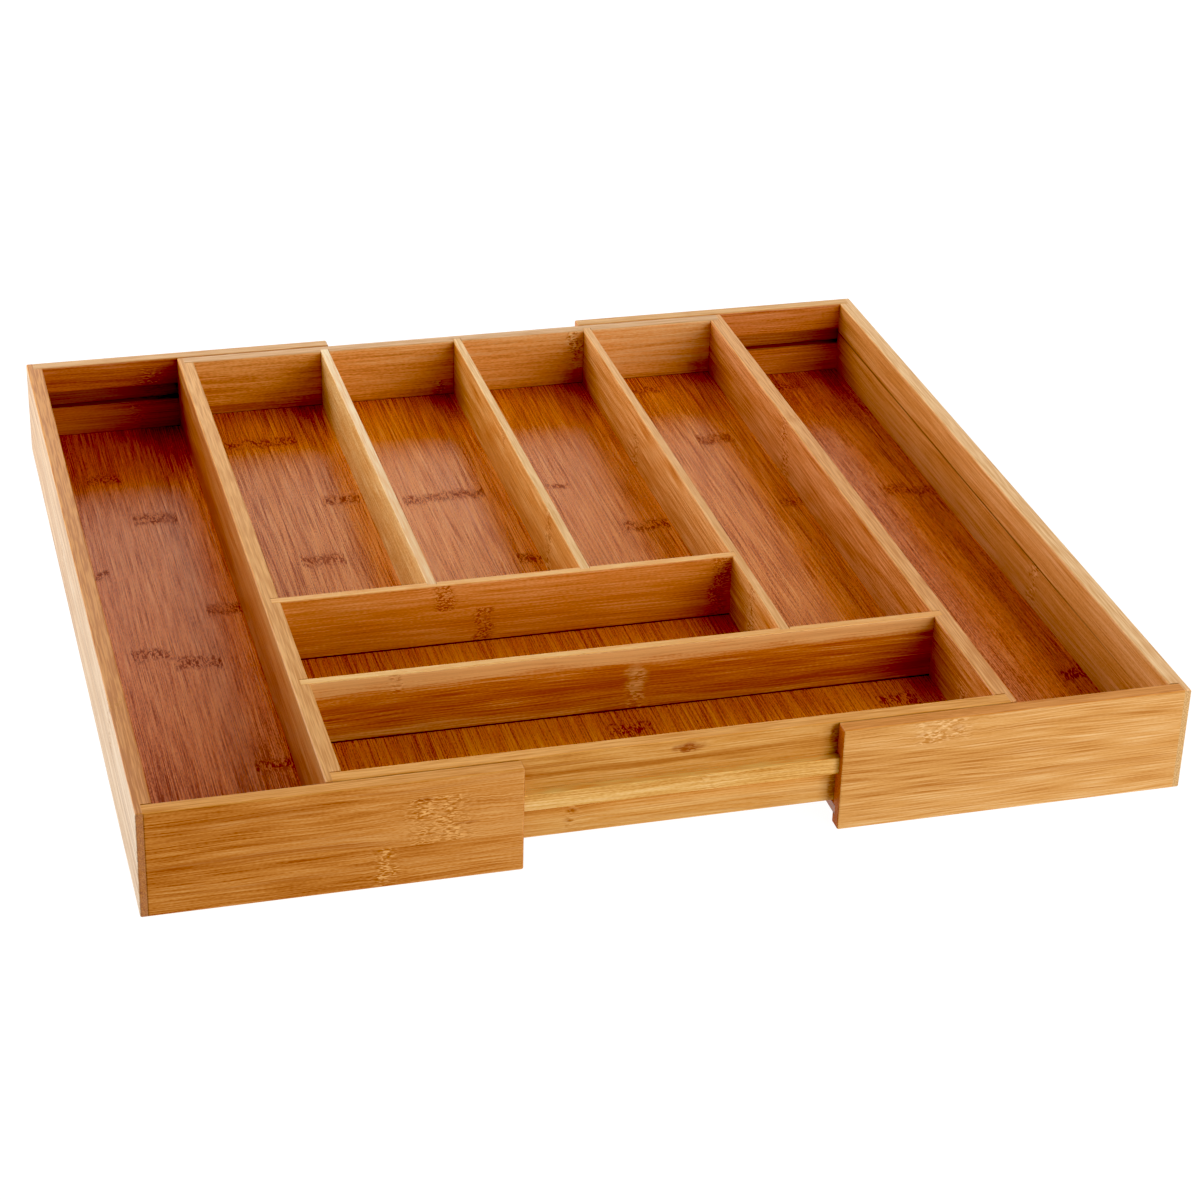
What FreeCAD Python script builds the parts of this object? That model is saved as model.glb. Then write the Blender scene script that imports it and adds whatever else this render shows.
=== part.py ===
import FreeCAD, Part
import os

# Expandable cutlery tray: a fixed middle tray with dividers, and one U-shaped
# extension at each side that slides out from under it.  Millimetres.
# +X runs to the right along the longest side, +Y to the back, +Z up.  The origin
# is in the middle of the tray, on the surface it stands on, with both extensions
# pulled out.

os.makedirs("parts", exist_ok=True)
V = FreeCAD.Vector

# ---------------------------------------------------------------- dimensions
overall_depth = 450.0          # front to back, over the extensions' rails
overall_height = 49.5          # all top edges are flush
overall_width = 458.4          # over both side walls, extensions pulled out

# extensions
ext_rail_thick = 7.4           # front and rear rails
ext_wall_thick = 7.8           # side walls
ext_lip = 3.2                  # side wall left outside the rail's end (rabbet)
ext_rail_end = 69.3            # free end of each rail, from the middle
ext_panel_bottom = 4.8
ext_panel_thick = 5.0
ext_panel_let_in = 3.0         # depth of the groove that holds the panel

# guide: strip on the middle tray, groove in the extensions
guide_groove_bottom = 26.0
guide_groove_top = 35.3
guide_groove_depth = 4.4
guide_strip_bottom = 26.4
guide_strip_top = 34.1
guide_strip_let_in = 1.5       # into the middle tray's rail
slide_gap = 0.4                # between faces that slide past each other

# middle tray
mid_half_width = 150.9
mid_bottom = 10.2
mid_rail_thick = 7.4
mid_wall_thick = 8.0
mid_lip = 3.0
mid_panel_bottom = 14.0
mid_panel_thick = 4.5
mid_panel_let_in = 3.0

# dividers
long_div_thick = 4.5
cross_div_thick = 4.6
long_left_x = -72.6
long_middle_x = 0.0
long_right_x = 72.7
cross_rear_y = -60.2
cross_front_y = -135.2
dado_in_wall = 4.0             # housing depth in the middle tray's side walls
dado_in_rail = 3.0             # housing depth in the rear rail
dado_in_div = 2.0              # housing depth where a divider meets a divider

# sanded edges
ease_board = 0.9
ease_div = 0.6
ease_strip = 0.4

# ------------------------------------------------------------ derived values
half_d = overall_depth / 2.0
half_w = overall_width / 2.0
top = overall_height
ext_in_y = half_d - ext_rail_thick             # inner face of extension rails
ext_in_x = half_w - ext_wall_thick             # inner face of extension walls
ext_rail_far = half_w - ext_lip                # rail's end inside the rabbet
ext_floor = ext_panel_bottom + ext_panel_thick
mid_half_depth = ext_in_y - slide_gap          # outer face of the middle rails
mid_in_y = mid_half_depth - mid_rail_thick
mid_in_x = mid_half_width - mid_wall_thick
mid_rail_far = mid_half_width - mid_lip
mid_floor = mid_panel_bottom + mid_panel_thick
strip_face = ext_in_y + guide_groove_depth - slide_gap


# ------------------------------------------------------------------- helpers
def box(x0, x1, y0, y1, z0, z1):
    x0, x1 = min(x0, x1), max(x0, x1)
    y0, y1 = min(y0, y1), max(y0, y1)
    return Part.makeBox(x1 - x0, y1 - y0, z1 - z0, V(x0, y0, z0))


def board(x0, x1, y0, y1, z0, z1, ease, along, ends=(), bottom=True):
    """A straight board with its long edges eased; `ends` names the ends
    ("lo", "hi") whose edges are eased too."""
    b = box(x0, x1, y0, y1, z0, z1)
    bb = b.BoundBox
    lo = bb.XMin if along == "x" else bb.YMin
    hi = bb.XMax if along == "x" else bb.YMax
    picked = []
    for e in b.Edges:
        eb = e.BoundBox
        span = eb.XLength if along == "x" else eb.YLength
        at = 0.5 * (eb.XMin + eb.XMax) if along == "x" else 0.5 * (eb.YMin + eb.YMax)
        low = eb.ZMax < bb.ZMin + 1e-6
        if span > 1e-6:
            if bottom or not low:
                picked.append(e)
        elif (abs(at - lo) < 1e-6 and "lo" in ends) or (abs(at - hi) < 1e-6 and "hi" in ends):
            if bottom or not low:
                picked.append(e)
    return b.makeFillet(ease, picked)


def write(name, shape):
    shape = shape.removeSplitter()
    solids = shape.Solids
    if len(solids) != 1 or not shape.isValid():
        raise RuntimeError("%s: %d solids, valid %s" % (name, len(solids), shape.isValid()))
    solids[0].exportStep("parts/%s.step" % name)
    bb = solids[0].BoundBox
    print("%-22s x %.1f..%.1f  y %.1f..%.1f  z %.1f..%.1f  volume %.0f" % (
        name, bb.XMin, bb.XMax, bb.YMin, bb.YMax, bb.ZMin, bb.ZMax, solids[0].Volume))


# ---------------------------------------------------------------- extensions
# s is -1 for the left extension and +1 for the right one.
for side, s in (("left", -1), ("right", 1)):
    free_end = "hi" if s < 0 else "lo"

    # side wall: full depth, rabbeted at both ends for the rails, grooved for the panel
    wall = board(s * ext_in_x, s * half_w, -half_d, half_d, 0, top, ease_board, "y", ("lo", "hi"))
    for f in (-1, 1):
        wall = wall.cut(box(s * (ext_in_x - 1), s * ext_rail_far,
                            f * ext_in_y, f * (half_d + 1), -1, top + 1))
    wall = wall.cut(box(s * (ext_in_x - 1), s * (ext_in_x + ext_panel_let_in),
                        -ext_in_y, ext_in_y, ext_panel_bottom, ext_floor))
    write(side + "_side_wall", wall)

    # front and rear rails: guide groove and panel groove in the inner face
    for name, f in (("front", -1), ("rear", 1)):
        rail = board(s * ext_rail_end, s * ext_rail_far, f * ext_in_y, f * half_d, 0, top,
                     ease_board, "x", (free_end,))
        rail = rail.cut(box(s * (ext_rail_end - 1), s * (ext_rail_far + 1),
                            f * (ext_in_y - 1), f * (ext_in_y + guide_groove_depth),
                            guide_groove_bottom, guide_groove_top))
        rail = rail.cut(box(s * (ext_rail_end - 1), s * (ext_rail_far + 1),
                            f * (ext_in_y - 1), f * (ext_in_y + ext_panel_let_in),
                            ext_panel_bottom, ext_floor))
        write("%s_%s_rail" % (side, name), rail)

    # base panel, held in the grooves; its inner edge is flush with the rails' ends
    px, py = ext_in_x + ext_panel_let_in, ext_in_y + ext_panel_let_in
    panel = box(s * ext_rail_end, s * px, -py, py, ext_panel_bottom, ext_floor)
    edge = [e for e in panel.Edges
            if e.BoundBox.YLength > 1 and abs(e.BoundBox.XMin - s * ext_rail_end) < 1e-6]
    panel = panel.makeFillet(ease_div, edge)
    write(side + "_base_panel", panel)

# --------------------------------------------------------------- middle tray
# side walls, rabbeted at both ends, grooved for the panel, housed for dividers
half_cross = cross_div_thick / 2.0
half_long = long_div_thick / 2.0
for side, s, housed in (("left", -1, (cross_rear_y, cross_front_y)),
                        ("right", 1, (cross_front_y,))):
    wall = board(s * mid_in_x, s * mid_half_width, -mid_half_depth, mid_half_depth,
                 mid_bottom, top, ease_board, "y", ("lo", "hi"))
    for f in (-1, 1):
        wall = wall.cut(box(s * (mid_in_x - 1), s * mid_rail_far,
                            f * mid_in_y, f * (mid_half_depth + 1), mid_bottom - 1, top + 1))
    wall = wall.cut(box(s * (mid_in_x - 1), s * (mid_in_x + mid_panel_let_in),
                        -mid_in_y, mid_in_y, mid_panel_bottom, mid_floor))
    for y in housed:
        wall = wall.cut(box(s * (mid_in_x - 1), s * (mid_in_x + dado_in_wall),
                            y - half_cross, y + half_cross, mid_floor, top + 1))
    write("centre_%s_wall" % side, wall)

# front and rear rails, each with a seat for its guide strip
for name, f in (("front", -1), ("rear", 1)):
    rail = board(-mid_rail_far, mid_rail_far, f * mid_in_y, f * mid_half_depth,
                 mid_bottom, top, ease_board, "x")
    rail = rail.cut(box(-mid_rail_far - 1, mid_rail_far + 1,
                        f * (mid_in_y - 1), f * (mid_in_y + mid_panel_let_in),
                        mid_panel_bottom, mid_floor))
    rail = rail.cut(box(-mid_rail_far - 1, mid_rail_far + 1,
                        f * (mid_half_depth - guide_strip_let_in), f * (mid_half_depth + 1),
                        guide_strip_bottom, guide_strip_top))
    if name == "rear":
        for x in (long_left_x, long_middle_x, long_right_x):
            rail = rail.cut(box(x - half_long, x + half_long, mid_in_y - 1,
                                mid_in_y + dado_in_rail, mid_floor, top + 1))
    write("centre_%s_rail" % name, rail)

    # guide strip, glued into its seat and proud of the rail; it rides in the
    # grooves of both extensions
    y_in, y_out = mid_half_depth - guide_strip_let_in, strip_face
    strip = box(-mid_rail_far, mid_rail_far, f * y_in, f * y_out,
                guide_strip_bottom, guide_strip_top)
    edges = []
    for e in strip.Edges:
        eb = e.BoundBox
        on_face = abs(abs(0.5 * (eb.YMin + eb.YMax)) - y_out) < 1e-6 and eb.YLength < 1e-6
        if on_face:
            edges.append(e)
    strip = strip.makeFillet(ease_strip, edges)
    write("%s_guide_strip" % name, strip)

# base panel, held in grooves on all four sides
write("centre_base_panel", box(-mid_in_x - mid_panel_let_in, mid_in_x + mid_panel_let_in,
                               -mid_in_y - mid_panel_let_in, mid_in_y + mid_panel_let_in,
                               mid_panel_bottom, mid_floor))

# long dividers: housed in the rear rail and in a cross divider
long_rear = mid_in_y + dado_in_rail
for name, x in (("left", long_left_x), ("middle", long_middle_x)):
    write("long_divider_" + name,
          board(x - half_long, x + half_long, cross_rear_y + half_cross - dado_in_div, long_rear,
                mid_floor, top, ease_div, "y", bottom=False))
d = board(long_right_x - half_long, long_right_x + half_long,
          cross_front_y + half_cross - dado_in_div, long_rear,
          mid_floor, top, ease_div, "y", bottom=False)
d = d.cut(box(long_right_x - half_long - 1, long_right_x - half_long + dado_in_div,
              cross_rear_y - half_cross, cross_rear_y + half_cross, mid_floor - 1, top + 1))
write("long_divider_right", d)

# cross dividers: the rear one from the left wall to the right long divider,
# the front one from wall to wall
c = board(-mid_in_x - dado_in_wall, long_right_x - half_long + dado_in_div,
          cross_rear_y - half_cross, cross_rear_y + half_cross,
          mid_floor, top, ease_div, "x", bottom=False)
for x in (long_left_x, long_middle_x):
    c = c.cut(box(x - half_long, x + half_long, cross_rear_y + half_cross - dado_in_div,
                  cross_rear_y + half_cross + 1, mid_floor - 1, top + 1))
write("cross_divider_rear", c)
c = board(-mid_in_x - dado_in_wall, mid_in_x + dado_in_wall,
          cross_front_y - half_cross, cross_front_y + half_cross,
          mid_floor, top, ease_div, "x", bottom=False)
c = c.cut(box(long_right_x - half_long, long_right_x + half_long,
              cross_front_y + half_cross - dado_in_div, cross_front_y + half_cross + 1,
              mid_floor - 1, top + 1))
write("cross_divider_front", c)
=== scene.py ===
import math

import bpy
from mathutils import Matrix, Vector


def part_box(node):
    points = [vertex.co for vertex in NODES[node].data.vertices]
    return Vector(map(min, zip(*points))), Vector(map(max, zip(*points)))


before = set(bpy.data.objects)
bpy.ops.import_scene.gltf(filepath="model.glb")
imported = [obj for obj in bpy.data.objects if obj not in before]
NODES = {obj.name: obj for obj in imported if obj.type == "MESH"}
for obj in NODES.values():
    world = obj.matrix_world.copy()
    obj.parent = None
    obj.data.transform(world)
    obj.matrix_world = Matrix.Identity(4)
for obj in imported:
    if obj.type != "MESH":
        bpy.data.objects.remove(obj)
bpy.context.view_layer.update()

scene = bpy.context.scene


# ------------------------------------------------------------------ small tools
def lin(r, g, b):
    """An 8-bit display colour as a linear one."""
    out = []
    for c in (r, g, b):
        c /= 255.0
        out.append(c / 12.92 if c <= 0.04045 else ((c + 0.055) / 1.055) ** 2.4)
    return (*out, 1.0)


def tinted(colour, tint):
    """A linear colour multiplied by a tint, kept inside what a surface can have."""
    return (*[min(c * t, 0.92) for c, t in zip(colour[:3], tint)], 1.0)


class Tree:
    """Short-hand for building a shader: inputs may be numbers or sockets."""

    def __init__(self, material):
        self.nt = material.node_tree
        self.nt.nodes.clear()

    def new(self, kind, **props):
        n = self.nt.nodes.new(kind)
        for k, v in props.items():
            setattr(n, k, v)
        return n

    def put(self, socket, value):
        if isinstance(value, bpy.types.NodeSocket):
            self.nt.links.new(value, socket)
        else:
            socket.default_value = value

    def math(self, op, a, b=0.0, c=0.0, clamp=False):
        n = self.new("ShaderNodeMath", operation=op, use_clamp=clamp)
        self.put(n.inputs[0], a)
        self.put(n.inputs[1], b)
        self.put(n.inputs[2], c)
        return n.outputs[0]

    def add(self, a, b):
        return self.math("ADD", a, b)

    def sub(self, a, b):
        return self.math("SUBTRACT", a, b)

    def mul(self, a, b):
        return self.math("MULTIPLY", a, b)

    def madd(self, a, b, c):
        return self.math("MULTIPLY_ADD", a, b, c)

    def away(self, v, centre):
        return self.math("ABSOLUTE", self.sub(v, centre))

    def step(self, v, lo, hi, to_lo=0.0, to_hi=1.0, kind="SMOOTHSTEP"):
        n = self.new("ShaderNodeMapRange", interpolation_type=kind, clamp=True)
        self.put(n.inputs["Value"], v)
        n.inputs["From Min"].default_value = lo
        n.inputs["From Max"].default_value = hi
        n.inputs["To Min"].default_value = to_lo
        n.inputs["To Max"].default_value = to_hi
        return n.outputs[0]

    def vec(self, x, y, z):
        n = self.new("ShaderNodeCombineXYZ")
        for s, v in zip(n.inputs, (x, y, z)):
            self.put(s, v)
        return n.outputs[0]

    def split(self, v):
        n = self.new("ShaderNodeSeparateXYZ")
        self.put(n.inputs[0], v)
        return n.outputs

    def noise(self, v, detail=2.0, rough=0.5, distortion=0.0):
        n = self.new("ShaderNodeTexNoise", noise_dimensions="3D")
        self.put(n.inputs["Vector"], v)
        n.inputs["Scale"].default_value = 1.0
        n.inputs["Detail"].default_value = detail
        n.inputs["Roughness"].default_value = rough
        n.inputs["Distortion"].default_value = distortion
        return n.outputs[0]

    def ramp(self, v, stops, interpolation="LINEAR"):
        n = self.new("ShaderNodeValToRGB")
        r = n.color_ramp
        r.interpolation = interpolation
        while len(r.elements) < len(stops):
            r.elements.new(1.0)
        for e, (p, c) in zip(r.elements, stops):
            e.position = p
        for e, (p, c) in zip(r.elements, stops):
            e.color = c
        self.put(n.inputs[0], v)
        return n.outputs

    def mix(self, f, a, b, blend="MIX"):
        n = self.new("ShaderNodeMix", data_type="RGBA", blend_type=blend)
        n.clamp_factor = True
        self.put(n.inputs["Factor"], f)
        self.put([s for s in n.inputs if s.name == "A" and s.type == "RGBA"][0], a)
        self.put([s for s in n.inputs if s.name == "B" and s.type == "RGBA"][0], b)
        return [s for s in n.outputs if s.type == "RGBA"][0]


# ------------------------------------------------------------- bamboo material
# A board is glued up from bamboo strips that run along its length.  Each strip
# has its own shade and its own knuckles, where the cane had its joints.
# strips: (where the strip starts across the board's width in mm, shade 0..1,
#          knuckle 1 and knuckle 2 along the length in mm or None, knuckle size)
# seams:  thin dark lines along the grain, glue lines and painted gap shadow:
#          (place across, half width, strength, where along it is full, where along it has faded out)
# joints: thin dark lines across the grain, painted gap shadow where a board meets another: (place along, half width,
# strength)
# marks:  groups of dark lines: (place across, half width, from and to along, strength)
# spots:  small dark growth marks, and painted shadow in corners and beside a rail's end: (along, across, half
# length, half width, strength)
# bands:  soft changes of shade across the width: (place across, change)
# pale:   soft lighter patches: (along, across, half length, half width, strength)
# fall:   shade that drifts off along the board: (from, to, change), one or more; on the floors and the left rear rail it is painted shade
# groove: painted shade inside a sawn groove, on its back and its ledges: (depth from, to, across from, to, strength)
# back:   how the shade of the face on the board's far side (+x or +y) differs, leaving out the painted light and shade of the near side
AXIS = {"x": 0, "y": 1, "z": 2}


def bamboo(name, node, grain, wide, strips, face, top, end, seed=0.0, rough=0.40, bump=0.10,
           broad=1.1, medium=0.5, fine=1.1, streak=0.4, wave=2.0, curl=2.0, run=1.0, thin=0.75,
           fleck=(2.6, 0.85), knuckle_long=9.0, knuckle_dark=0.5, knuckle_light=0.6,
           knuckle_tint=0.0, slope=(0.0, 0.0), rise=0.0, bands=(), seams=(), joints=(),
           marks=(), spots=(), tint=(1, 1, 1), top_tint=(1, 1, 1), end_tint=(1, 1, 1),
           top_knuckle=0.1, top_slope=(0.0, 0.0), grit=1.5, gloss=0.5, ior=1.5, pores=0.15,
           lines=0.15, speck=0.3, sheen=0.3, patchy=0.25, swirly=0.8, groove=None, pale=(), fall=(),
           broad_wide=4.2, fine_wide=0.55, dense=0.0, back=None):
    m = bpy.data.materials.new(name)
    m.use_nodes = True
    t = Tree(m)
    low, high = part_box(node)
    gi, wi = AXIS[grain], AXIS[wide]
    ti = 3 - gi - wi
    l0, l1 = low[gi] * 1000 - 60.0, high[gi] * 1000
    w0, w1 = low[wi] * 1000, high[wi] * 1000
    light, mid, dark = (tinted(c, tint) for c in face)
    top_light, top_dark = (tinted(c, top_tint) for c in top)
    end_light, end_dark = (tinted(c, end_tint) for c in end)

    coords = t.new("ShaderNodeTexCoord")
    big = t.new("ShaderNodeVectorMath", operation="SCALE")
    t.put(big.inputs[0], coords.outputs["Object"])
    big.inputs["Scale"].default_value = 1000.0
    axes = t.split(big.outputs[0])
    l, w, th = axes[gi], axes[wi], axes[ti]
    facing = t.split(coords.outputs["Normal"])
    f_l = t.math("ABSOLUTE", facing[gi])
    f_w = t.math("ABSOLUTE", facing[wi])
    f_t = t.math("ABSOLUTE", facing[ti])
    on_end = t.step(f_l, 0.6, 0.8)
    on_edge = t.step(f_w, 0.55, 0.85)

    # the strip that a point is in
    across = t.math("DIVIDE", t.sub(w, w0), w1 - w0)
    table = []
    for start, shade, k1, k2, size in strips:
        p = min(max((start - w0) / (w1 - w0), 0.0), 1.0)
        a = 0.0 if k1 is None else (k1 - l0) / (l1 - l0)
        b = 0.0 if k2 is None else (k2 - l0) / (l1 - l0)
        table.append((p, (a, b, shade, size)))
    strip_colour, strip_size = t.ramp(across, table, "CONSTANT")
    sep = t.new("ShaderNodeSeparateColor")
    t.put(sep.inputs[0], strip_colour)
    k1, k2, shade = sep.outputs[0], sep.outputs[1], sep.outputs[2]

    # distance along the grain to the nearest knuckle, uneven across the strip
    wobble = t.noise(t.vec(seed + 3.1, t.madd(w, 0.22, shade), t.mul(th, 0.22)), 1.0, 0.5)
    ls = t.madd(t.sub(wobble, 0.5), 8.0, l)
    d1 = t.math("ABSOLUTE", t.sub(ls, t.madd(k1, l1 - l0, l0)))
    d2 = t.math("ABSOLUTE", t.sub(ls, t.madd(k2, l1 - l0, l0)))
    near = t.math("DIVIDE", t.math("MINIMUM", d1, d2), t.add(strip_size, 0.05))
    knuckle = t.step(near, 0.35 * knuckle_long, knuckle_long, 1.0, 0.0)
    around = t.step(near, 0.4 * knuckle_long, 3.0 * knuckle_long, 1.0, 0.0)
    knuckle = t.mul(knuckle, t.step(on_edge, 0.0, 1.0, 1.0, top_knuckle))

    # fibres wander a little, and more around a knuckle
    sway = t.noise(t.vec(t.madd(l, 1 / 70, seed), t.mul(w, 1 / 16), t.mul(th, 1 / 16)), 1.0, 0.5)
    swirl = t.noise(t.vec(t.madd(l, 1 / 5.0, seed), t.mul(w, 1 / 5.0), t.mul(th, 1 / 5.0)), 1.0, 0.5)
    ws = t.madd(t.sub(sway, 0.5), wave, w)
    wb = t.add(ws, t.mul(around, t.mul(t.sub(swirl, 0.5), curl)))
    # each strip has its own run of fibres
    lb = t.madd(shade, 977.0, t.add(l, seed * 31.7))
    wb = t.madd(shade, 311.0, wb)

    n_broad = t.noise(t.vec(t.mul(lb, 1 / (170 * run)), t.mul(wb, 1 / broad_wide), t.mul(th, 1 / 5.0)), 2.0, 0.5)
    n_medium = t.noise(t.vec(t.mul(lb, 1 / (85 * run)), t.mul(wb, 1 / (1.5 * thin)), t.mul(th, 1 / 1.5)), 2.0, 0.55)
    n_fine = t.noise(t.vec(t.mul(lb, 1 / (26 * run)), t.mul(wb, 1 / fine_wide), t.mul(th, 1 / 0.55)), 0.0)
    n_streak = t.noise(t.vec(t.mul(lb, 1 / (150 * run)), t.mul(wb, 1 / 1.8), t.mul(th, 1 / 2.4)), 1.0, 0.5)
    n_speck = t.noise(t.vec(t.mul(lb, 1 / 1.7), t.mul(wb, 1 / 0.5), t.mul(th, 1 / 0.5)), 0.0)
    n_line = t.noise(t.vec(t.mul(lb, 1 / (60 * run)), t.mul(wb, 1 / 1.7), t.mul(th, 1 / 1.7)), 1.0, 0.4)
    v = t.madd(t.sub(n_broad, 0.5), broad, 0.5)
    v = t.madd(t.sub(n_speck, 0.5), speck, v)
    v = t.madd(t.sub(n_medium, 0.5), medium, v)
    v = t.madd(t.sub(n_fine, 0.5), fine, v)
    v = t.madd(t.sub(shade, 0.5), 0.6, v)
    if slope != (0.0, 0.0):
        # shade drifts along the board, from its low end to its high end: partly the board's own tone, partly painted
        # light falling off along it
        drift = t.step(l, low[gi] * 1000, high[gi] * 1000, slope[0], slope[1], "LINEAR")
        v = t.add(v, drift)
    # painted shade falling off along the board
    for start, stop, change in fall:
        v = t.add(v, t.step(l, start, stop, 0.0, change))
    if rise:
        # and painted light and shade across it, changing from its low edge to its high edge
        v = t.add(v, t.step(w, w0, w1, -rise, rise, "LINEAR"))
    if bands:
        place = t.math("DIVIDE", t.sub(t.madd(t.sub(sway, 0.5), 1.5 * wave, w), w0), w1 - w0)
        soft, _ = t.ramp(place, [((a - w0) / (w1 - w0), (0.5 + b, 0.5 + b, 0.5 + b, 1.0)) for a, b in bands])
        v = t.add(v, t.sub(soft, 0.5))
    colour, _ = t.ramp(v, [(0.15, dark), (0.5, mid), (0.85, light)])
    for at, place, half_l, half_w, strength in pale:
        a = t.math("DIVIDE", t.sub(t.madd(t.sub(swirl, 0.5), half_l, l), at), half_l)
        b = t.math("DIVIDE", t.sub(w, place), half_w)
        body = t.step(t.math("SQRT", t.madd(a, a, t.mul(b, b))), 0.3, 1.2, strength, 0.0)
        colour = t.mix(t.mul(body, t.step(n_fine, 0.3, 0.6, 0.5, 1.0)), colour, light)
    long_streak = t.step(n_streak, 0.54, 0.70)
    colour = t.mix(t.mul(long_streak, streak), colour, dark)
    for place, half, start, stop, strength in marks:
        body = t.step(t.away(t.madd(t.sub(sway, 0.5), 2.0 * wave, w), place), 0.4 * half, 1.4 * half, strength, 0.0)
        strands = t.step(n_medium, 0.62, 0.42, 0.3, 1.0)
        fade = t.step(t.away(l, 0.5 * (start + stop)), 0.25 * (stop - start), 0.5 * (stop - start), 1.0, 0.0)
        colour = t.mix(t.mul(t.mul(body, strands), fade), colour, dark)

    # thin dark lines between bundles of fibre
    thread = t.step(t.away(n_line, 0.5), 0.01, 0.06, lines, 0.0)
    colour = t.mix(thread, colour, dark)
    # short dark vessels among the fibres
    vessel = t.noise(t.vec(t.mul(lb, 1 / (45 * run)), t.mul(wb, 1 / 0.6), t.mul(th, 1 / 0.6)), 0.0)
    vessel = t.step(vessel, 0.58, 0.72)
    colour = t.mix(t.mul(vessel, pores), colour, dark)

    # knuckles: short dark and light flecks, with a warmer ground
    ripple = t.noise(t.vec(t.madd(l, 1 / fleck[0], seed), t.mul(w, 1 / fleck[1]), t.mul(th, 1 / fleck[1])), 1.0, 0.4, swirly)
    patch = t.noise(t.vec(t.madd(l, 1 / 6.0, seed), t.mul(w, 1 / 4.0), t.mul(th, 1 / 4.0)), 1.0, 0.5)
    knuckle = t.mul(knuckle, t.step(patch, 0.36, 0.54, patchy, 1.0))
    fleck_dark = t.mul(t.step(ripple, 0.48 - dense, 0.60 - dense), knuckle)
    fleck_light = t.mul(t.step(ripple, 0.50, 0.36), knuckle)
    deep = tinted(dark, (0.80, 0.62, 0.5))
    warm = tinted(mid, (0.86, 0.74, 0.6))
    if knuckle_tint:
        colour = t.mix(t.mul(knuckle, knuckle_tint), colour, warm)
    colour = t.mix(t.mul(fleck_dark, knuckle_dark), colour, deep)
    colour = t.mix(t.mul(fleck_light, knuckle_light), colour, tinted(light, (1.15, 1.20, 1.30)))
    # dark spots: growth marks, and on the centre rails painted shadow
    for at, place, half_l, half_w, strength in spots:
        a = t.math("DIVIDE", t.sub(t.madd(t.sub(swirl, 0.5), half_l, l), at), half_l)
        b = t.math("DIVIDE", t.sub(t.madd(t.sub(ripple, 0.5), half_w, w), place), half_w)
        body = t.step(t.math("SQRT", t.madd(a, a, t.mul(b, b))), 0.4, 1.2, strength, 0.0)
        colour = t.mix(t.mul(body, t.step(ripple, 0.36, 0.56, 0.45, 1.0)), colour, deep)

    # glue seams and painted gap shadow along the board, joint lines with painted gap shadow across it
    for place, half, strength, full, gone in seams:
        line = t.mul(t.step(t.away(w, place), 0.3 * half, half, strength, 0.0),
                     t.step(l, full, gone, 1.0, 0.0))
        colour = t.mix(line, colour, tinted(deep, (0.12, 0.08, 0.08)))
    for place, half, strength in joints:
        line = t.step(t.away(l, place), 0.3 * half, half, strength, 0.0)
        colour = t.mix(line, colour, tinted(deep, (0.12, 0.08, 0.08)))

    # painted shade inside the groove: strongest on its back, and on its ledges
    if groove:
        t0, t1, g0, g1, strength = groove
        at = t.math("ABSOLUTE", th)
        groove_shade = t.mul(t.step(at, t0, t0 + 0.6), t.step(at, t1, t1 + 0.6, strength, 0.0))
        groove_shade = t.mul(groove_shade, t.mul(t.step(w, g0 - 0.6, g0 - 0.2), t.step(w, g1 + 0.2, g1 + 0.6, 1.0, 0.0)))
        groove_ledge_shade = t.mul(t.math("DIVIDE", groove_shade, strength), on_edge)
        groove_shade = t.mul(groove_shade, t.madd(on_edge, -0.8, 1.0))

    # sawn and sanded edges: paler, with short dashes of cut fibre
    dash = t.noise(t.vec(t.mul(lb, 1 / 15.0), t.mul(w, 1 / 0.6), t.mul(th, 1 / 0.6)), 1.0, 0.5)
    vt = t.madd(t.sub(dash, 0.5), grit, 0.5)
    vt = t.madd(t.sub(n_medium, 0.5), 0.6, vt)
    vt = t.madd(t.sub(n_fine, 0.5), 0.5, vt)
    vt = t.madd(t.sub(shade, 0.5), 0.4, vt)
    if top_slope != (0.0, 0.0):
        vt = t.add(vt, t.step(l, low[gi] * 1000, high[gi] * 1000, top_slope[0], top_slope[1], "LINEAR"))
    edge_colour, _ = t.ramp(vt, [(0.15, top_dark), (0.85, top_light)])
    if top_knuckle > 0.2:
        edge_colour = t.mix(t.mul(fleck_dark, 0.5), edge_colour, warm)
    colour = t.mix(on_edge, colour, edge_colour)
    # paint the groove's shade: its ledges near the deep colour, its back darker still
    if groove:
        colour = t.mix(t.mul(groove_ledge_shade, 0.92), colour, tinted(deep, (1.0, 0.8, 0.7)))
        colour = t.mix(groove_shade, colour, tinted(deep, (0.30, 0.12, 0.10)))
    # the eased arris gets a little painted highlight, paler, and is made duller
    arris = t.step(t.mul(f_w, f_t), 0.15, 0.42)
    colour = t.mix(t.mul(arris, 0.12), colour, top_light)
    # board ends show the cut fibres
    dots = t.noise(t.vec(t.mul(w, 1 / 0.55), t.mul(th, 1 / 0.55), t.madd(l, 0.3, seed)), 1.0, 0.5)
    end_colour, _ = t.ramp(dots, [(0.3, end_light), (0.72, end_dark)])
    colour = t.mix(on_end, colour, end_colour)

    if back:
        colour = t.mix(t.step(facing[ti], 0.5, 0.8), colour, (*back, 1.0), "MULTIPLY")

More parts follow.
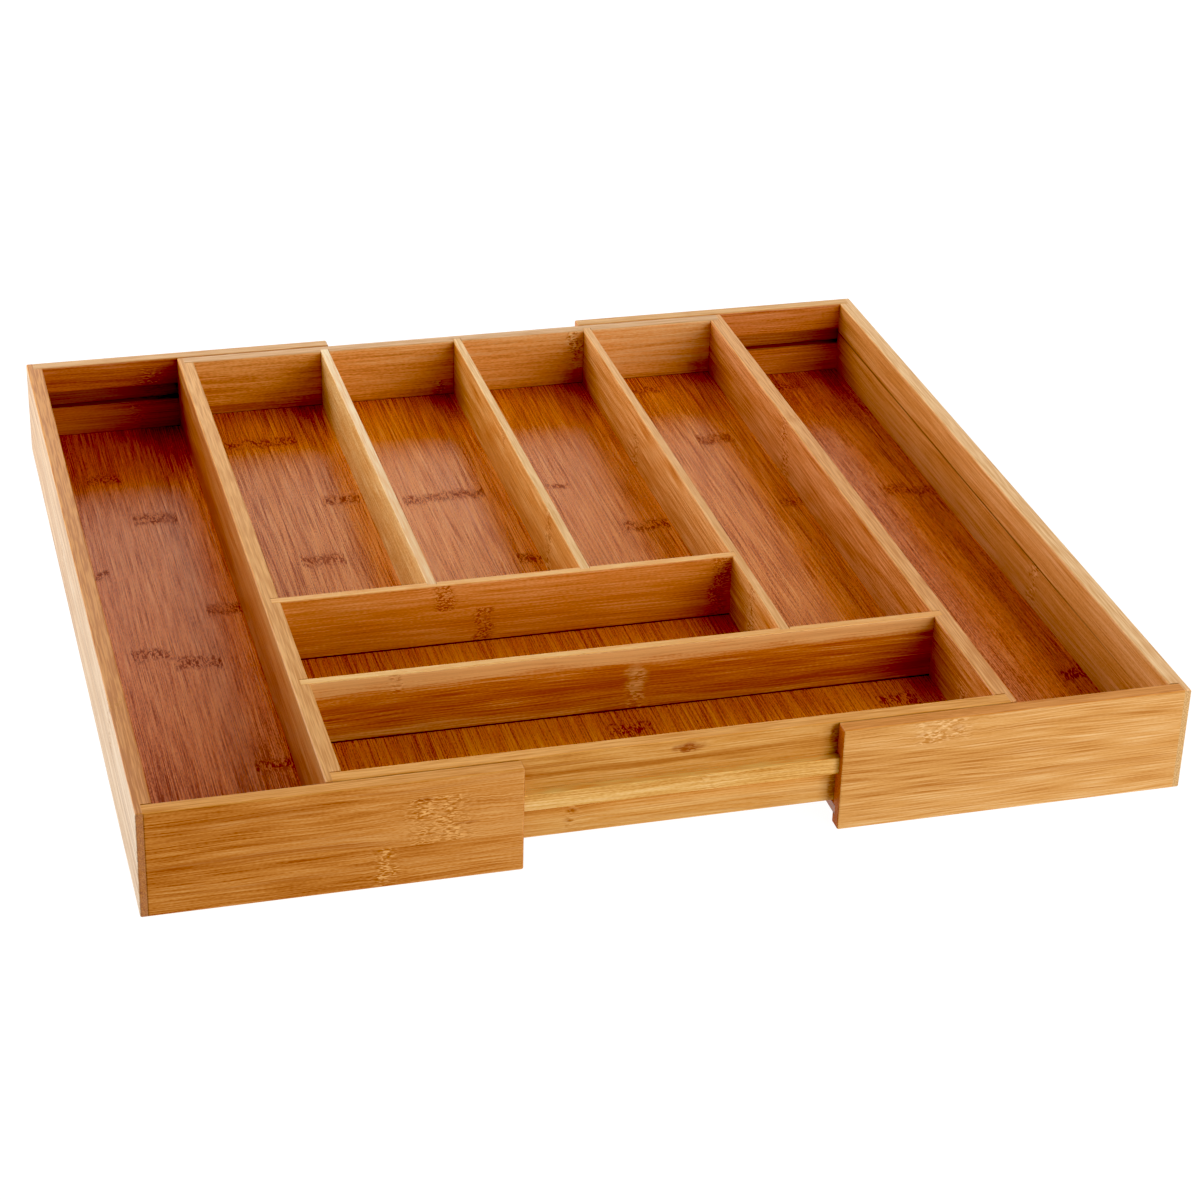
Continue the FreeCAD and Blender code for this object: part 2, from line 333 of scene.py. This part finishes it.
    bsdf = t.new("ShaderNodeBsdfPrincipled")
    out = t.new("ShaderNodeOutputMaterial")
    t.nt.links.new(bsdf.outputs[0], out.inputs[0])
    t.put(bsdf.inputs["Base Color"], colour)
    r = t.madd(t.sub(n_medium, 0.5), 0.14, rough)
    r = t.madd(knuckle, 0.05, r)
    t.put(bsdf.inputs["Roughness"], t.madd(on_end, 0.2, r))
    bsdf.inputs["IOR"].default_value = ior
    shine = t.step(v, 0.1, 0.9, gloss * (1 - sheen), gloss * (1 + sheen), "LINEAR")
    shine = t.mul(shine, t.madd(fleck_dark, -0.8, 1.0))
    t.put(bsdf.inputs["Specular IOR Level"], t.mul(shine, t.madd(arris, -0.8, 1.0)))
    height = t.madd(n_medium, 0.5, t.mul(n_fine, 0.35))
    height = t.sub(height, t.mul(vessel, 0.3))
    height = t.sub(height, t.mul(fleck_dark, 0.4))
    bmp = t.new("ShaderNodeBump")
    bmp.inputs["Strength"].default_value = bump
    bmp.inputs["Distance"].default_value = 0.0004
    t.put(bmp.inputs["Height"], height)
    t.put(bsdf.inputs["Normal"], bmp.outputs[0])
    return m


# shades, as display colours: face light, mid, dark; edge light, dark; end light, dark
RAIL = dict(face=(lin(234, 172, 88), lin(212, 138, 54), lin(166, 84, 14)),
            top=(lin(234, 184, 122), lin(204, 142, 74)),
            end=(lin(206, 140, 72), lin(160, 92, 34)))
WALL = dict(face=(lin(230, 168, 90), lin(208, 138, 58), lin(168, 92, 22)),
            top=(lin(234, 184, 122), lin(204, 142, 74)),
            end=(lin(206, 140, 72), lin(160, 92, 34)))
DIVIDER = dict(face=(lin(236, 182, 98), lin(208, 138, 56), lin(172, 94, 22)),
               top=(lin(240, 194, 134), lin(212, 156, 88)),
               end=(lin(206, 140, 72), lin(160, 92, 34)))
WALL_2 = dict(WALL, face=(lin(230, 190, 104), lin(208, 142, 60), lin(168, 86, 20)))
DIVIDER_2 = dict(DIVIDER, face=(lin(236, 195, 106), lin(208, 138, 56), lin(172, 94, 22)))
STRIP = dict(face=(lin(240, 186, 104), lin(224, 160, 72), lin(186, 110, 28)),
             top=(lin(228, 170, 90), lin(200, 130, 52)),
             end=(lin(206, 140, 72), lin(160, 92, 34)))
FLOOR = dict(face=(lin(222, 132, 48), lin(200, 102, 26), lin(142, 54, 8)),
             top=(lin(222, 150, 80), lin(190, 110, 46)),
             end=(lin(190, 110, 46), lin(140, 70, 20)))

N = None
# painted gap shadow at the foot of a cross divider
FLOOR_GAP_SHADE = (18.5, 1.1, 1.0, 900, 901)      # dark line where a divider stands on the floor
BOARDS = {
    # node: (grain, width axis, shades, strips, options)
    "left_front_rail": ("x", "z", RAIL, [
        (0.0, 0.46, -127.5, N, 0.4), (18.8, 0.54, -104.5, N, 1.15), (41.0, 0.47, N, N, 0.5)],
        # its slope is partly painted light: darker toward the left end
        dict(slope=(-0.12, 0.14), broad=0.75, broad_wide=7.5, medium=0.1, fine=0.75, streak=0.1, wave=3.5, lines=0.08, gloss=0.2,
             fleck=(2.6, 0.6), knuckle_dark=0.45, knuckle_light=1.0, knuckle_long=15.0, patchy=0.5, end_tint=(0.8, 0.75, 0.75),
             top_slope=(0.0, -0.1), joints=[(-225.9, 0.6, 0.5)],
             marks=[(41.5, 1.8, -236, -140, 0.55), (36.5, 0.9, -230, -165, 0.35),
                    (21.8, 1.7, -240, -110, 0.55), (27.5, 0.8, -215, -130, 0.35),
                    (9.0, 1.0, -235, -140, 0.35), (46.0, 0.8, -150, -75, 0.3)],
             spots=[(-112.0, 40.5, 5.0, 1.2, 0.45), (-93.0, 27.0, 6.0, 0.9, 0.4)])),
    "right_front_rail": ("x", "z", RAIL, [
        (0.0, 0.5, N, N, 0.5), (20.0, 0.48, N, N, 0.5), (38.0, 0.53, 114.6, N, 1.1)],
        dict(broad=0.55, broad_wide=10.0, medium=0.1, fine=0.65, speck=0.12, streak=0.06, pores=0.1, wave=3.0, slope=(-0.04, 0.06), lines=0.06,
             gloss=0.2,
             knuckle_long=14.0, knuckle_dark=0.3, knuckle_light=0.55, end_tint=(0.86, 0.60, 0.44),
             marks=[(17.5, 1.6, 70, 230, 0.3), (30.0, 1.2, 80, 200, 0.2), (42.0, 1.4, 120, 232, 0.2)],
             spots=[(121.0, 44.5, 3.5, 1.6, 0.4), (104.0, 43.0, 3.0, 1.0, 0.3)])),
    "left_rear_rail": ("x", "z", RAIL, [
        (0.0, 0.62, -172.3, N, 0.5), (24.0, 0.5, -163.8, N, 0.9), (45.0, 0.52, N, N, 0.5)],
        # painted shade on this rail: its fall is the shadow over its right end, its groove and seams shade the
        # groove and the floor joint
        dict(broad=0.5, medium=0.25, fine=0.6, streak=0.2, knuckle_dark=0.3, fall=[(-185, -152, -0.16)],
             groove=(217.7, 223.4, 26.0, 35.3, 0.46), seams=[(9.8, 0.5, 0.6, 900, 901), (26.0, 0.4, 0.5, 900, 901)],
             bands=[(0, 0.0), (35, 0.0), (36, -0.14), (42, -0.08), (48, 0.06)])),
    "right_rear_rail": ("x", "z", RAIL, [
        (0.0, 0.62, N, N, 0.7), (22.0, 0.5, N, N, 0.5), (40.0, 0.53, N, N, 0.5)],
        dict(broad=0.6, medium=0.25, fine=0.6, streak=0.25,
             # the right rear rail's seams at 9.8 and 26.0 are painted shade: where it meets the floor, and along its
             # groove's lower edge
             groove=(217.7, 223.4, 26.0, 35.3, 0.3), seams=[(9.8, 0.5, 0.6, 900, 901), (26.0, 0.6, 0.7, 900, 901)])),
    "centre_front_rail": ("x", "z", RAIL, [
        (10.2, 0.5, -46.8, N, 0.45), (24.5, 0.48, N, N, 0.5)],
        dict(broad=0.5, broad_wide=5.0, medium=0.15, fine=0.6, speck=0.15, streak=0.1, wave=3.0, knuckle_dark=0.35, knuckle_light=0.2,
             lines=0.15, gloss=0.2,
             knuckle_tint=0.15, top_slope=(0.06, -0.06),
             # its lighter bands just under and just above the guide strip are painted light, lifting the shade the
             # strip and its ledge throw
             bands=[(10.2, 0.08), (18.0, 0.10), (23.5, -0.06), (35.0, 0.10), (38.0, 0.11), (41.6, -0.24),
                    (43.6, 0.03), (46.0, 0.03), (49.5, 0.0)],
             marks=[(41.6, 1.2, -150, 60, 0.5), (45.4, 0.6, -140, -20, 0.35), (24.6, 0.9, -150, 30, 0.35)],
             # the two spots at 68.4 along are painted shadow beside the right front rail's free end, above and below
             # the guide strip
             spots=[(3.6, 45.8, 8.5, 2.6, 0.75), (2.8, 45.7, 4.6, 2.4, 1.0), (-46.8, 21.5, 3.0, 1.0, 0.6),
                    (-48.5, 16.5, 2.6, 1.0, 0.45), (68.4, 42.5, 2.6, 8.0, 0.95), (68.4, 18.0, 2.2, 8.0, 0.7)])),
    "centre_rear_rail": ("x", "z", RAIL, [
        (10.2, 0.48, -10.8, N, 0.35), (27.0, 0.52, 65.4, N, 0.6)],
        # painted shade on this rail: its slope darkens the left end, its rise lightens its top, its seam at 18.5 is
        # gap shadow at the floor, and its spots shade the lower corners at the dividers
        dict(broad=0.45, medium=0.18, fine=0.4, streak=0.1, knuckle_dark=0.8, slope=(-0.16, 0.05),
             rise=0.08, seams=[(18.5, 0.6, 0.7, 900, 901)],
             spots=[(-6.0, 23.0, 10.0, 6.0, 0.4), (68.0, 23.0, 10.0, 6.0, 0.6), (139.0, 23.0, 10.0, 6.0, 0.55)])),
    "left_side_wall": ("y", "z", WALL, [
        (0.0, 0.48, 60.0, N, 0.6), (27.3, 0.53, -136.8, N, 0.9)],
        dict(fine=0.8, top_knuckle=0.8, top_slope=(-0.15, 0.15), grit=3.6, slope=(0.12, -0.12), ior=1.6,
             end_tint=(0.69, 0.60, 0.34), seams=[(27.3, 0.35, 0.7, 900, 901)])),
    "right_side_wall": ("y", "z", WALL, [
        (0.0, 0.52, -70.0, N, 0.8), (32.5, 0.5, N, N, 0.7)],
        dict(broad=0.5, medium=0.2, fine=0.65, streak=0.1, lines=0.05, end_tint=(1.02, 1.5, 2.4),
             bands=[(0, 0.08), (16, 0.08), (26, 0.0), (32.4, -0.06), (32.8, 0.04), (49, 0.04)],
             slope=(0.04, -0.06), seams=[(32.6, 0.65, 0.8, -60, -215)])),
    "centre_left_wall": ("y", "z", WALL_2, [
        (10.2, 0.46, N, N, 0.6), (29.0, 0.52, N, N, 0.6)],
        dict(broad=0.8, medium=0.4, fine=0.9, streak=0.3, rise=0.24, slope=(0.06, -0.12), top_slope=(-0.05, 0.0), grit=1.9)),
    "centre_right_wall": ("y", "z", WALL, [
        (10.2, 0.48, 73.8, -178.0, 0.9), (34.0, 0.53, 78.8, N, 0.7)],
        dict(pale=[(-178.0, 27.0, 10.0, 9.0, 0.85)], knuckle_dark=0.8, knuckle_tint=0.2, patchy=0.5, broad=0.7, medium=0.3, fine=1.3, speck=0.5, streak=0.3, lines=0.25, top_knuckle=0.4, top_slope=(-0.06, 0.12), grit=2.3)),
    # the long dividers' joint line at 209.5 is painted gap shadow where each goes into the rear rail
    "long_divider_left": ("y", "z", DIVIDER, [(18.5, 0.5, N, N, 0.5), (40.0, 0.53, N, N, 0.4)],
                          dict(broad=0.45, medium=0.3, fine=0.9, speck=0.6, streak=0.1, rise=0.06,
                               top_slope=(-0.25, 0.1), joints=[(209.5, 0.45, 0.8)])),
    "long_divider_middle": ("y", "z", DIVIDER, [(18.5, 0.5, 0.4, N, 0.8), (39.0, 0.52, 0.4, 94.0, 0.5)],
                            dict(knuckle_dark=0.8, knuckle_tint=0.2, patchy=0.5, broad=0.8, medium=0.4, fine=0.9, streak=0.2, joints=[(209.5, 0.45, 0.8)])),
    "long_divider_right": ("y", "z", DIVIDER, [(18.5, 0.47, 102.0, -93.0, 0.7), (36.0, 0.52, N, -93.0, 0.6)],
                           dict(pale=[(-93.0, 27.0, 8.0, 8.0, 0.75)], fall=[(-98, -132, -0.08)], knuckle_dark=0.8, knuckle_tint=0.2, patchy=0.5, broad=0.8, medium=0.25, fine=1.2, speck=0.4, streak=0.2, lines=0.1, rise=0.05,
                                top_slope=(-0.08, 0.06), joints=[(209.5, 0.45, 0.8)])),
    "cross_divider_rear": ("x", "z", DIVIDER, [(18.5, 0.49, -49.6, 63.0, 0.62), (36.0, 0.5, -67.0, 66.0, 0.68)],
                           dict(broad=0.45, medium=0.18, fine=0.55, streak=0.08, lines=0.1, fleck=(1.5, 0.65), dense=0.03, patchy=0.6,
                                knuckle_tint=0.35, knuckle_dark=0.9, knuckle_light=0.25, rise=-0.03,
                                spots=[(64.5, 40.0, 2.4, 2.0, 0.6), (66.0, 31.0, 2.0, 1.6, 0.6)], seams=[FLOOR_GAP_SHADE])),
    "cross_divider_front": ("x", "z", DIVIDER_2, [(18.5, 0.5, 3.0, N, 0.8), (40.0, 0.53, -105.0, N, 0.5)],
                            dict(broad=0.8, medium=0.3, fine=0.8, streak=0.2, wave=4.0, slope=(0.05, -0.08),
                                 knuckle_long=7.0, knuckle_dark=0.45, knuckle_light=0.5, top_slope=(0.05, -0.4),
                                 pale=[(3.0, 33.5, 6.0, 9.5, 0.95)],
                                 bands=[(18.5, 0.16), (23.0, 0.08), (26.0, -0.19), (29.0, -0.11), (35.0, -0.08),
                                        (38.0, -0.03), (41.0, -0.06), (43.0, 0.28), (47.0, 0.5)],
                                 marks=[(33.5, 2.2, -135, -70, 0.5), (33.0, 2.0, -26, 34, 0.6)], seams=[FLOOR_GAP_SHADE])),
    "front_guide_strip": ("x", "z", STRIP, [(26.4, 0.5, 12.0, N, 0.8)],
                          dict(broad=0.8, fine=0.7, streak=0.15, knuckle_dark=0.3, knuckle_light=0.3, gloss=0.2)),
    "rear_guide_strip": ("x", "z", STRIP, [(26.4, 0.5, N, N, 0.5)], dict(streak=0.2)),
    "left_base_panel": ("y", "x", FLOOR, [
        (-224.4, 0.48, 54.9, N, 0.6), (-208.0, 0.53, 159.5, -28.6, 0.9), (-189.8, 0.53, 110.0, -38.9, 1.0),
        (-168.0, 0.42, 9.1, -135.7, 0.9), (-147.0, 0.52, 70.0, -90.0, 0.8), (-126.0, 0.48, 180.0, -40.0, 0.8),
        (-104.0, 0.51, 130.0, -120.0, 0.8), (-84.0, 0.46, 20.0, N, 0.8)], dict(fine=1.15, medium=0.06, broad=0.25, speck=0.5, fall=[(85, 190, -0.19), (-70, -190, -0.22)])),
    "right_base_panel": ("y", "x", FLOOR, [
        (69.3, 0.5, 40.0, -160.0, 0.8), (90.0, 0.46, 150.0, -60.0, 0.8), (111.0, 0.53, 90.0, -110.0, 0.8),
        (132.0, 0.48, 10.0, -190.0, 0.8), (153.0, 0.52, N, N, 0.8), (174.0, 0.47, 200.7, N, 0.8),
        (195.0, 0.52, 64.0, N, 0.9), (209.5, 0.46, 59.0, -136.8, 0.8)], dict(gloss=0.38, fall=[(110, 215, -0.12)])),
    "centre_base_panel": ("y", "x", FLOOR, [
        (-145.9, 0.44, 168.0, N, 0.8), (-134.0, 0.47, 169.0, N, 0.8), (-117.5, 0.47, 168.0, 31.6, 0.9),
        (-96.5, 0.49, 95.0, N, 0.8), (-77.0, 0.74, N, N, 0.7), (-56.0, 0.64, 87.0, N, 0.8),
        (-35.0, 0.52, 88.0, N, 0.8), (-14.5, 0.48, 12.5, -153.7, 0.9), (6.0, 0.53, N, N, 0.5),
        (15.0, 0.54, 86.6, N, 0.4), (30.0, 0.5, N, N, 0.7), (46.0, 0.46, 35.5, N, 0.9), (69.0, 0.39, N, N, 0.6),
        (94.0, 0.53, 193.0, N, 0.6), (111.0, 0.47, 125.0, -154.8, 0.9), (130.0, 0.5, 44.6, N, 0.8)], {}),
}

# how each board's own shade differs from its kind: faces, edges; on some boards part of it is painted light, as said
# below
TINTS = {
    "left_front_rail": ((0.70, 0.68, 0.83), (1.00, 0.87, 0.68)),
    "right_front_rail": ((0.84, 1.06, 2.03), (0.90, 0.68, 0.45)),
    "left_rear_rail": ((0.86, 0.66, 1.00), (0.93, 0.94, 1.05)),
    "right_rear_rail": ((1.00, 0.88, 1.45), (1.00, 1.00, 1.00)),
    "centre_front_rail": ((0.77, 0.90, 1.35), (1.05, 0.94, 0.74)),
    "centre_rear_rail": ((1.28, 1.50, 2.95), (0.94, 1.00, 1.30)),
    # the left side wall's face is painted pale, as if in strong light from the left
    "left_side_wall": ((0.88, 1.31, 3.20), (0.82, 0.61, 0.39)),
    "right_side_wall": ((1.03, 1.13, 1.95), (1.15, 1.25, 1.54)),
    # the centre left wall's face is darkened: painted shade on its side in view
    "centre_left_wall": ((0.69, 0.51, 0.62), (0.99, 0.90, 0.76)),
    "centre_right_wall": ((0.92, 0.87, 1.48), (0.97, 0.84, 0.73)),
    "long_divider_left": ((1.08, 1.48, 2.85), (1.20, 1.34, 1.92)),
    "long_divider_middle": ((0.94, 0.99, 1.42), (1.02, 1.06, 1.13)),
    "long_divider_right": ((1.00, 1.05, 1.74), (0.97, 0.87, 0.80)),
    "cross_divider_rear": ((1.05, 0.98, 1.50), (1.19, 1.04, 0.94)),
    "cross_divider_front": ((0.93, 0.785, 1.12), (1.21, 1.10, 0.96)),
    # the front guide strip's edge tint paints light onto its top ledge, which the rail above it shades
    "front_guide_strip": ((0.82, 0.95, 1.43), (1.50, 1.66, 2.30)),
    "rear_guide_strip": ((0.88, 1.04, 1.36), (1.10, 1.10, 1.10)),
    "left_base_panel": ((1.27, 1.24, 1.00), (0.50, 0.38, 0.30)),
    "right_base_panel": ((1.14, 1.20, 2.00), (0.50, 0.38, 0.30)),
    "centre_base_panel": ((1.31, 1.54, 2.00), (0.60, 0.50, 0.40)),
}

# and how a board's far side differs from its near side: the near side's shade carries painted light and shade, which
# the far side leaves out
BACKS = {
    "left_rear_rail": (0.90, 1.27, 1.15),
    "right_rear_rail": (0.78, 0.96, 0.80),
    "centre_rear_rail": (0.64, 0.62, 0.48),
    "left_side_wall": (1.02, 0.74, 0.42),
    "right_side_wall": (0.94, 0.90, 0.72),
    "centre_left_wall": (1.20, 1.45, 1.50),
}

for i, (node, (grain, wide, shades, strips, options)) in enumerate(sorted(BOARDS.items())):
    opts = {}
    if shades is FLOOR:
        # floors: fall darkens each floor toward its rear, and the left floor also toward its front: painted shade
        opts = dict(rough=0.28, bump=0.06, broad=0.22, medium=0.06, fine=1.2, fine_wide=0.38, streak=0.06, wave=1.0, curl=0.8,
                    run=1.15, pores=0.12, lines=0.06, speck=0.75, sheen=0.7, fall=[(90, 205, -0.11)],
                    fleck=(2.6, 1.0), knuckle_long=8.5, knuckle_dark=1.0, knuckle_light=0.1, dense=0.035,
                    knuckle_tint=0.4, patchy=0.75)
    opts["tint"], opts["top_tint"] = TINTS[node]
    opts["back"] = BACKS.get(node)
    opts.update(options)
    mat = bamboo("bamboo_" + node, node, grain, wide, strips, seed=11.3 + 7.9 * i, **shades, **opts)
    obj = NODES[node]
    obj.data.materials.clear()
    obj.data.materials.append(mat)

# ------------------------------------------------------------------------ stage
bpy.ops.mesh.primitive_plane_add(size=14.0, location=(0, 0, 0))
ground = bpy.context.object
ground.name = "ground"
gm = bpy.data.materials.new("ground_white")
gm.use_nodes = True
gb = gm.node_tree.nodes["Principled BSDF"]
gb.inputs["Base Color"].default_value = (0.12, 0.12, 0.12, 1.0)
gb.inputs["Roughness"].default_value = 0.9
gb.inputs["Specular IOR Level"].default_value = 0.0
gb.inputs["Emission Color"].default_value = (1.0, 1.0, 1.0, 1.0)
gb.inputs["Emission Strength"].default_value = 0.97
ground.data.materials.append(gm)

world = bpy.data.worlds.new("studio")
scene.world = world
world.use_nodes = True
bg = world.node_tree.nodes["Background"]
bg.inputs["Color"].default_value = (1.0, 1.0, 1.0, 1.0)
bg.inputs["Strength"].default_value = 0.02


def panel(name, az, el, wide, high, bright, far=1.6, colour=(1, 1, 1)):
    """A soft light panel that faces the tray: az 0 is in front, 90 to the right,
    180 behind, el is its height in degrees; bright is how bright its face is."""
    a, e = math.radians(az), math.radians(el)
    d = Vector((math.sin(a) * math.cos(e), -math.cos(a) * math.cos(e), math.sin(e)))
    data = bpy.data.lights.new(name, "AREA")
    data.shape = "RECTANGLE"
    data.size, data.size_y = wide, high
    data.energy = math.pi * wide * high * bright
    data.color = colour
    o = bpy.data.objects.new(name, data)
    scene.collection.objects.link(o)
    o.location = d * far + Vector((0, 0, 0.03))
    o.rotation_mode = "QUATERNION"
    o.rotation_quaternion = (-d).to_track_quat("-Z", "Y")
    return o


# a white backdrop, which the lacquered floors mirror
panel("backdrop_right", 155, 14.5, 0.71, 0.84, 1.2, colour=(1.0, 0.96, 0.85))
panel("backdrop_left", 180, 14.5, 0.71, 0.84, 1.55, colour=(1.0, 0.96, 0.85))
panel("back_left", 230, 14.5, 0.71, 0.84, 11.0)
panel("left", 280, 14.5, 0.71, 0.84, 2.1)
panel("front", 5, 14.5, 0.71, 0.84, 2.0)
panel("front_right", 30, 14.5, 0.71, 0.84, 7.7)
panel("high_right", 120, 44, 0.84, 0.79, 2.6)
panel("high_back", 200, 44, 0.84, 0.79, 1.0)
panel("high_left", 240, 44, 0.84, 0.79, 2.4)
panel("key", 75, 62, 0.4, 0.4, 8.2)

# ----------------------------------------------------------------------- camera
az, el, roll = math.radians(-15.95), math.radians(28.4), math.radians(1.78)
back = Vector((math.sin(az) * math.cos(el), -math.cos(az) * math.cos(el), math.sin(el)))
right = Vector((math.cos(az), math.sin(az), 0.0))
up = back.cross(right)
right2 = right * math.cos(roll) + up * math.sin(roll)
up2 = up * math.cos(roll) - right * math.sin(roll)
cam = bpy.data.cameras.new("camera")
cam.sensor_width = 36.0
cam.lens = 88.446
cam_obj = bpy.data.objects.new("camera", cam)
scene.collection.objects.link(cam_obj)
cam_obj.matrix_world = Matrix((
    (right2.x, up2.x, back.x, -0.3252),
    (right2.y, up2.y, back.y, -1.2238),
    (right2.z, up2.z, back.z, 0.6866),
    (0, 0, 0, 1)))
scene.camera = cam_obj

scene.view_settings.view_transform = "Standard"
scene.view_settings.look = "None"
scene.view_settings.use_curve_mapping = True
scene.view_settings.curve_mapping.black_level = (0.025, 0.025, 0.025)
